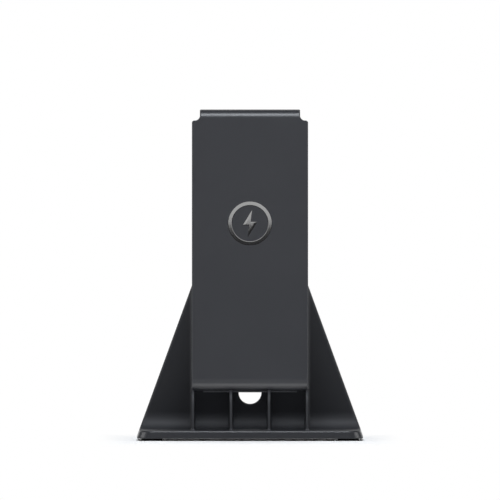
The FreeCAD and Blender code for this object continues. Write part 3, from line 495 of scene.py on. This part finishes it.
def ink_ring(radius, half_width, thickness):
    """A circle times a section: half an ellipse over the face and a flat line back along it."""
    turn = round_turn(RING_SIDES)
    arch = np.linspace(0.0, np.pi, ARCH_STEPS)
    reach = radius + half_width * np.cos(arch)[:, None]
    height = thickness * np.clip(np.sin(arch) * 3, 0.0, 1.0)[:, None]
    return reach * np.cos(turn), reach * np.sin(turn), np.broadcast_to(height, (len(arch), len(turn)))


MARK_LEVEL = 66.1 * MM
FACE_DEPTH = -14.4 * MM
INK_THICKNESS = 0.04 * MM
INK_EDGE = 0.03
BOLT_HALF_HEIGHT = 5.6 * MM
BOLT_ROUND = 0.35 * MM
BOLT_ROUND_STEPS = 7
BOLT = np.array(((0.16, 1.0), (-0.52, -0.12), (-0.06, -0.12), (-0.16, -1.0), (0.52, 0.12), (0.06, 0.12)))
RING_RADIUS = 8.0 * MM
RING_HALF_WIDTH = 0.8 * MM

bolt_outline = rounded_outline(BOLT * BOLT_HALF_HEIGHT, BOLT_ROUND, BOLT_ROUND_STEPS)
u, v, w = ink_solid(bolt_outline, INK_THICKNESS, INK_EDGE)
bolt_piece = make_piece("charge_bolt", lean(u, FACE_DEPTH - w, MARK_LEVEL + v), tube_faces(*u.shape),
                        ink)
u, v, w = ink_ring(RING_RADIUS, RING_HALF_WIDTH, INK_THICKNESS)
ring_piece = make_piece("charge_ring", lean(u, FACE_DEPTH - w, MARK_LEVEL + v), grid_faces(*u.shape, len(u)),
                        ink)

# %% [markdown]
# ## Floor
# The stand rests on a wide sheet of white paper. The camera should see it as plain white with a soft
# shadow under the object. Close to the object the paper is a plain lit surface, which takes the shadow.
# Farther out it turns step by step into plain white light, as overexposed paper does: within a few
# millimetres at the sides, where the picture shows hardly any shadow, and more slowly in front. That
# light is only there for rays from the camera and for reflections, so it adds none to the object. The
# paper is white to the camera and a light grey to all other rays, so that it throws no more light up at
# the object than a real sheet would.

# %% Floor
FLOOR_RADIUS = 3.0
FLOOR_RINGS = (1e-4, 0.1, 0.4, 1.0)
FLOOR_SIDES = 96
SHADOW_SIDE = (44.0 * MM, 62.0 * MM)
SHADOW_FRONT = (60.0 * MM, 190.0 * MM)

paper, tree, place = start_finish("paper_white_matt")
path = add(tree, "ShaderNodeLightPath")
seen = add(tree, "ShaderNodeMath", operation="MAXIMUM",
           sources={0: path.outputs["Is Camera Ray"], 1: path.outputs["Is Glossy Ray"]})
seen = add(tree, "ShaderNodeMath", sources={0: seen.outputs[0], 1: path.outputs["Is Transmission Ray"]},
           operation="MAXIMUM")
away = add(tree, "ShaderNodeVectorMath", sources={0: place}, operation="ABSOLUTE")
apart = add(tree, "ShaderNodeSeparateXYZ", sources={0: away.outputs["Vector"]})
aside = add(tree, "ShaderNodeMapRange", {"From Min": SHADOW_SIDE[0], "From Max": SHADOW_SIDE[1]},
            {"Value": apart.outputs["X"]}, interpolation_type="SMOOTHSTEP")
ahead = add(tree, "ShaderNodeMapRange", {"From Min": SHADOW_FRONT[0], "From Max": SHADOW_FRONT[1]},
            {"Value": apart.outputs["Y"]}, interpolation_type="SMOOTHSTEP")
white = add(tree, "ShaderNodeMath", sources={0: aside.outputs["Result"], 1: ahead.outputs["Result"]},
            operation="MAXIMUM")
share = add(tree, "ShaderNodeMath", sources={0: seen.outputs[0], 1: white.outputs[0]}, operation="MULTIPLY")
tone = add(tree, "ShaderNodeMixRGB", {"Color1": linear("#d0d0d0"), "Color2": linear("#ffffff")},
           {"Fac": path.outputs["Is Camera Ray"]})
lit = add(tree, "ShaderNodeBsdfDiffuse", sources={"Color": tone.outputs["Color"]})
glow = add(tree, "ShaderNodeEmission", {"Color": linear("#ffffff"), "Strength": 1.0})
both = add(tree, "ShaderNodeMixShader", sources={0: share.outputs[0], 1: lit.outputs[0], 2: glow.outputs[0]})
end_finish(paper, tree, both)

turn = round_turn(FLOOR_SIDES)
rings = np.array(FLOOR_RINGS)[:, None] * FLOOR_RADIUS
floor_points = np.stack(np.broadcast_arrays(rings * np.cos(turn), rings * np.sin(turn), 0.0), axis=-1)
floor_mesh = bpy.data.meshes.new("floor")
floor_faces = grid_faces(len(rings), len(turn), len(rings) - 1)
floor_mesh.from_pydata(floor_points.reshape(-1, 3).tolist(), [], floor_faces)
floor_mesh.materials.append(paper)
floor = bpy.data.objects.new("floor", floor_mesh)
scene.collection.objects.link(floor)
print("floor", FLOOR_RADIUS, "m in radius")

# %% [markdown]
# ## Studio light
# Dark plastic shows its form by what it reflects. The room is white to the camera. To the object it is
# dim, so that the rounded edges stay dark against the white. Behind the object hangs a white backdrop,
# which metal and gloss may show. It starts softly where the direction's share towards the rear passes a
# half.

# %% World
ROOM_LIGHT = 0.11
BACKDROP_EDGE = (0.5, 0.8)

world = bpy.data.worlds.new("studio")
scene.world = world
world.use_nodes = True
tree = world.node_tree
tree.nodes.clear()
path = add(tree, "ShaderNodeLightPath")
around = add(tree, "ShaderNodeTexCoord").outputs["Generated"]
direction = add(tree, "ShaderNodeSeparateXYZ", sources={0: around})
behind = add(tree, "ShaderNodeMapRange", {"From Min": BACKDROP_EDGE[0], "From Max": BACKDROP_EDGE[1]},
             {"Value": direction.outputs["Y"]})
backdrop = add(tree, "ShaderNodeMath", operation="MULTIPLY",
               sources={0: path.outputs["Is Glossy Ray"], 1: behind.outputs["Result"]})
seen = add(tree, "ShaderNodeMath", operation="MAXIMUM",
           sources={0: path.outputs["Is Camera Ray"], 1: path.outputs["Is Transmission Ray"]})
seen = add(tree, "ShaderNodeMath", sources={0: seen.outputs[0], 1: backdrop.outputs[0]}, operation="MAXIMUM")
room = add(tree, "ShaderNodeBackground", {"Color": linear("#ffffff"), "Strength": ROOM_LIGHT})
white = add(tree, "ShaderNodeBackground", {"Color": linear("#ffffff"), "Strength": 1.0})
both = add(tree, "ShaderNodeMixShader", sources={0: seen.outputs[0], 1: room.outputs[0], 2: white.outputs[0]})
add(tree, "ShaderNodeOutputWorld", sources={"Surface": both.outputs[0]})
print("world nodes", len(tree.nodes))

# %% [markdown]
# ## Lamps
# One softbox hangs in front and above, and draws the bright line along each rounded edge. Two panels at
# the sides catch the corners of the base, and two cards on it, one behind the other, light the lower edge
# of the unit. A small lamp close in front leaves a faint glow in the middle of the face. Two fills, in
# front and behind, lift the shade. They are hidden from reflections, so that they don't show in the
# faces. A lamp can be told which objects cast its shadow and which ones it lights. In the picture the
# bays under the unit are as light as the wings beside it, so the unit casts no shadow from the softbox
# and the front fill. The cards light the front cover alone, the rear fill leaves out the floor, and one
# lamp lights the floor alone. A window in front is for the gloss ink alone: its lower edge runs across
# the middle of the mark, which is pale above it and black below, as gloss black is.

# %% Lamps
LAMP_AIM = 75.0 * MM
FAR = 1.3


def hang_softbox(name, azimuth, elevation, size, radiance, distance=FAR, glossy=True):
    """Area lamp on a sphere round the object, facing it; its power is radiance times area times pi. Azimuth
    and elevation are in degrees, with azimuth zero in front, and size is a width and a height in metres."""
    lamp = bpy.data.lights.new(name, "AREA")
    lamp.shape = "RECTANGLE"
    lamp.size, lamp.size_y = size
    lamp.energy = radiance * math.pi * size[0] * size[1]
    holder = bpy.data.objects.new(name, lamp)
    scene.collection.objects.link(holder)
    turned, raised = math.radians(azimuth), math.radians(elevation)
    level = math.cos(raised)
    out = np.array((math.sin(turned) * level, -math.cos(turned) * level, math.sin(raised)))
    holder.location = out * distance + np.array((0.0, 0.0, LAMP_AIM))
    holder.rotation_euler = (math.pi / 2 - raised, 0.0, turned)
    holder.visible_camera = False
    holder.visible_glossy = glossy
    print("lamp", name, "watts", round(lamp.energy, 3))
    return holder


def linked(name, members, state):
    """A collection that a lamp leaves out, or keeps to."""
    group = bpy.data.collections.new(name)
    for member in members:
        group.objects.link(member)
    for link in group.collection_objects:
        link.light_linking.link_state = state
    return group


STAND_NODES = ("stand_body", "foot_front_left", "foot_front_right", "foot_rear_left", "foot_rear_right")
unit_nodes = [node for name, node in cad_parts.items() if name not in STAND_NODES]
unit = linked("unit_without_shadow", unit_nodes, "EXCLUDE")

softbox = hang_softbox("softbox_above_front", azimuth=0.0, elevation=56.0, size=(0.4, 0.6), radiance=14.0)
softbox.data.color = linear("#f4f9ff")[:3]
softbox.light_linking.blocker_collection = unit
fill = hang_softbox("fill_in_front", azimuth=0.0, elevation=16.0, size=(0.7, 0.4), radiance=6.5,
                    glossy=False)
fill.light_linking.blocker_collection = unit
rear_fill = hang_softbox("fill_behind", azimuth=180.0, elevation=20.0, size=(0.9, 0.6), radiance=4.0,
                         glossy=False)
rear_fill.light_linking.receiver_collection = linked("floor_left_out", [floor], "EXCLUDE")
floor_light = hang_softbox("light_on_floor", azimuth=180.0, elevation=35.0, size=(0.9, 0.6), radiance=3.6,
                           glossy=False)
floor_light.light_linking.receiver_collection = linked("floor_alone", [floor], "INCLUDE")
hang_softbox("glow_in_front", azimuth=0.0, elevation=15.0, size=(0.05, 0.05), radiance=0.3, distance=0.22)
window = hang_softbox("window_in_front", azimuth=0.0, elevation=19.0, size=(0.1, 0.1), radiance=8.0,
                      distance=0.4845)
window.light_linking.receiver_collection = linked("ink_alone", [bolt_piece, ring_piece], "INCLUDE")
for name, azimuth in (("panel_left", -72.0), ("panel_right", 72.0)):
    hang_softbox(name, azimuth, elevation=15.0, size=(0.9, 0.3), radiance=4.0)

CARD_WIDTH = 60.0 * MM
CARD_LEVEL = 4.5 * MM
CARDS = (("card_in_front", -34.0 * MM, 16.0 * MM, 1.6), ("card_under", -19.0 * MM, 14.0 * MM, 0.5))
front_alone = linked("front_cover_alone", [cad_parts["front_cover"]], "INCLUDE")
for name, y, depth, radiance in CARDS:
    card = hang_softbox(name, azimuth=0.0, elevation=0.0, size=(CARD_WIDTH, depth), radiance=radiance)
    card.location = (0.0, y, CARD_LEVEL)
    card.rotation_euler = (math.pi, 0.0, 0.0)
    card.light_linking.receiver_collection = front_alone

# %% [markdown]
# ## Camera
# The picture has no visible perspective, so the camera is orthographic, straight in front and less than a
# degree above the horizon. Its scale is the real width of the picture at the object.

# %% Camera
VIEW_HEIGHT = 75.86 * MM
PICTURE_WIDTH = 199.6 * MM
CAMERA_RISE = math.radians(0.7)
CAMERA_DISTANCE = 1.2

camera = bpy.data.objects.new("camera", bpy.data.cameras.new("camera"))
scene.collection.objects.link(camera)
camera.data.type = "ORTHO"
camera.data.ortho_scale = PICTURE_WIDTH
camera.data.clip_start = 0.01
camera.location = (0.0, -CAMERA_DISTANCE * math.cos(CAMERA_RISE),
                   VIEW_HEIGHT + CAMERA_DISTANCE * math.sin(CAMERA_RISE))
camera.rotation_euler = (math.pi / 2 - CAMERA_RISE, 0.0, 0.0)
scene.camera = camera
print("picture width in mm", PICTURE_WIDTH / MM)
